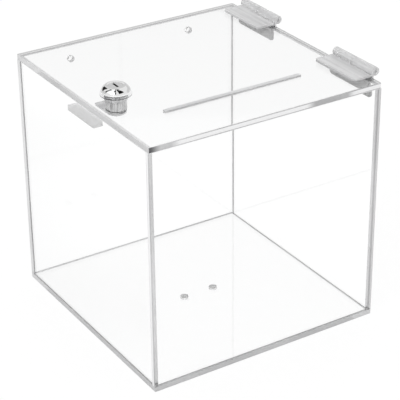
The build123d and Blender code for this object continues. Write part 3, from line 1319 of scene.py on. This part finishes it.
@dataclass
class Studio:
    """The white studio: floor, surroundings, lamps and camera."""

    picture_side: int = 400
    focal_pixels: float = 1545.6
    sensor: float = 36.0
    bearing: float = -32.089
    rise: float = 27.884
    roll: float = -0.609
    camera_place: Triple = (-0.71373, -1.14498, 0.82282)
    floor_reach: float = 6.0
    floor_height: float = -0.1 * MM
    floor_sides: int = 64
    lamp_place: Triple = (-1.5, -0.9, 1.7)
    lamp_side: float = 1.1
    lamp_watts: float = 9.0
    box_middle: Triple = (0.0, 0.0, 0.12)
    light_on_object: float = 0.784
    seen_directly: float = 1.0
    seen_through: float = 0.88
    mirrored: float = 0.8
    # The low band behind the box, the bright one to its left, and the dark shapes in the lock's dome.
    zones: tuple[SkyZone, ...] = (
        SkyZone(70, 250, 3, 24.8, 0.61, 0.5),
        SkyZone(-110, -56, 30, 100, 1.04),
        SkyZone(-52, -26, 32, 100, 0.01),
        SkyZone(-2, 44, 32, 100, 0.01),
        SkyZone(128, 154, 68, 100, 0.01),
        SkyZone(178, 224, 68, 100, 0.01),
        SkyZone(-178, -148, 8, 60, 0.02),
        SkyZone(-127, -113, 24, 72, 0.02),
    )

    def build(self) -> None:
        """Adds everything in the studio."""
        self.add_camera()
        self.add_floor()
        self.add_surroundings()
        self.add_lamp()
        bpy.context.scene.view_settings.view_transform = "Standard"

    def add_camera(self) -> None:
        """Adds the camera where the photograph was taken from."""
        data = bpy.data.cameras.new("photo_camera")
        data.sensor_width = self.sensor
        data.lens = self.focal_pixels / self.picture_side * self.sensor
        camera = add_object("photo_camera", data)
        bearing, rise, roll = (math.radians(angle) for angle in (self.bearing, self.rise, self.roll))
        level = math.cos(rise)
        back = Vector((math.sin(bearing) * level, -math.cos(bearing) * level, math.sin(rise)))
        right = (-back).cross(Vector((0, 0, 1))).normalized()
        up = right.cross(-back)
        turned_right = right * math.cos(roll) + up * math.sin(roll)
        turned_up = up * math.cos(roll) - right * math.sin(roll)
        turned = Matrix((turned_right, turned_up, back)).transposed().to_4x4()
        camera.matrix_world = Matrix.Translation(self.camera_place) @ turned
        bpy.context.scene.camera = camera

    def add_floor(self) -> None:
        """Adds the white floor, which keeps the box's shadow."""
        mesh = bpy.data.meshes.new("studio_floor")
        form = bmesh.new()
        outline = circle(0, 0, self.floor_reach, self.floor_sides)
        form.faces.new([form.verts.new((x, y, self.floor_height)) for x, y in outline])
        form.to_mesh(mesh)
        form.free()
        mesh.materials.append(StudioPaper().material())
        floor = add_object("studio_floor", mesh)

    def add_surroundings(self) -> None:
        """Adds the white surroundings, with the darker places that shiny surfaces mirror."""
        world = bpy.data.worlds.new("studio_air")
        bpy.context.scene.world = world
        world.use_nodes = True
        tree = ShaderTree(world.node_tree)
        direction = tree.node("TexCoord").outputs["Generated"]
        split = tree.node("SeparateXYZ", {0: direction}).outputs
        bearing = tree.math("ARCTAN2", split[0], tree.math("MULTIPLY", split[1], -1.0))
        bearing = tree.math("DEGREES", bearing)
        height = tree.math("DEGREES", tree.math("ARCSINE", split[2]))
        brightness = self.mirrored
        for zone in self.zones:
            share = self.zone_share(tree, bearing, height, zone)
            brightness = tree.blend(share, brightness, zone.brightness)
        camera, through, mirrored = tree.rays()
        strength = tree.blend(through, self.light_on_object, self.seen_through)
        strength = tree.blend(camera, strength, self.seen_directly)
        strength = tree.blend(mirrored, strength, brightness)
        background = tree.node("Background", {"Color": (1.0, 1.0, 1.0, 1.0), "Strength": strength}).outputs[0]
        tree.node("OutputWorld", {"Surface": background})

    def zone_share(self, tree: ShaderTree, bearing: Socket, height: Socket, zone: SkyZone) -> Socket:
        """How far a direction is inside a zone.

        Args:
            tree: the world's tree.
            bearing: the direction's bearing, in degrees.
            height: the direction's height, in degrees.
            zone: the zone.

        Returns:
            A socket that is 1 inside and 0 outside.
        """
        middle = (zone.bearing_from + zone.bearing_to) / 2
        half = (zone.bearing_to - zone.bearing_from) / 2
        # Adding one and a half turns keeps the remainder positive, and takes the middle to half a turn.
        turned = tree.math("MODULO", tree.math("ADD", bearing, 540.0 - middle), 360.0)
        away = tree.math("ABSOLUTE", tree.math("SUBTRACT", turned, 180.0))
        soft = zone.softness / 2
        inside = tree.ramp(away, half - soft, half + soft, 1.0, 0.0)
        between = tree.within(height, zone.height_from, zone.height_to, soft)
        return tree.math("MULTIPLY", inside, between)

    def add_lamp(self) -> None:
        """Adds the square soft lamp at the left, which faces the box."""
        data = bpy.data.lights.new("softbox_left", "AREA")
        data.shape = "SQUARE"
        data.size = self.lamp_side
        data.energy = self.lamp_watts
        lamp = add_object("softbox_left", data)
        facing = Vector(self.box_middle) - Vector(self.lamp_place)
        turned = facing.to_track_quat("-Z", "Y").to_matrix().to_4x4()
        lamp.matrix_world = Matrix.Translation(self.lamp_place) @ turned


def main() -> None:
    """Builds the box and its studio."""
    logging.basicConfig(level=logging.INFO, format="%(message)s")
    finishes = Finishes()
    ClearCase(finishes).build()
    SlottedLid(finishes).build()
    for place, start in (("front", -110.0 * MM), ("rear", 48.0 * MM)):
        LeafHinge(finishes, place, start).build()
    CamLock(finishes).build()
    Studio().build()


if __name__ == "__main__":
    main()
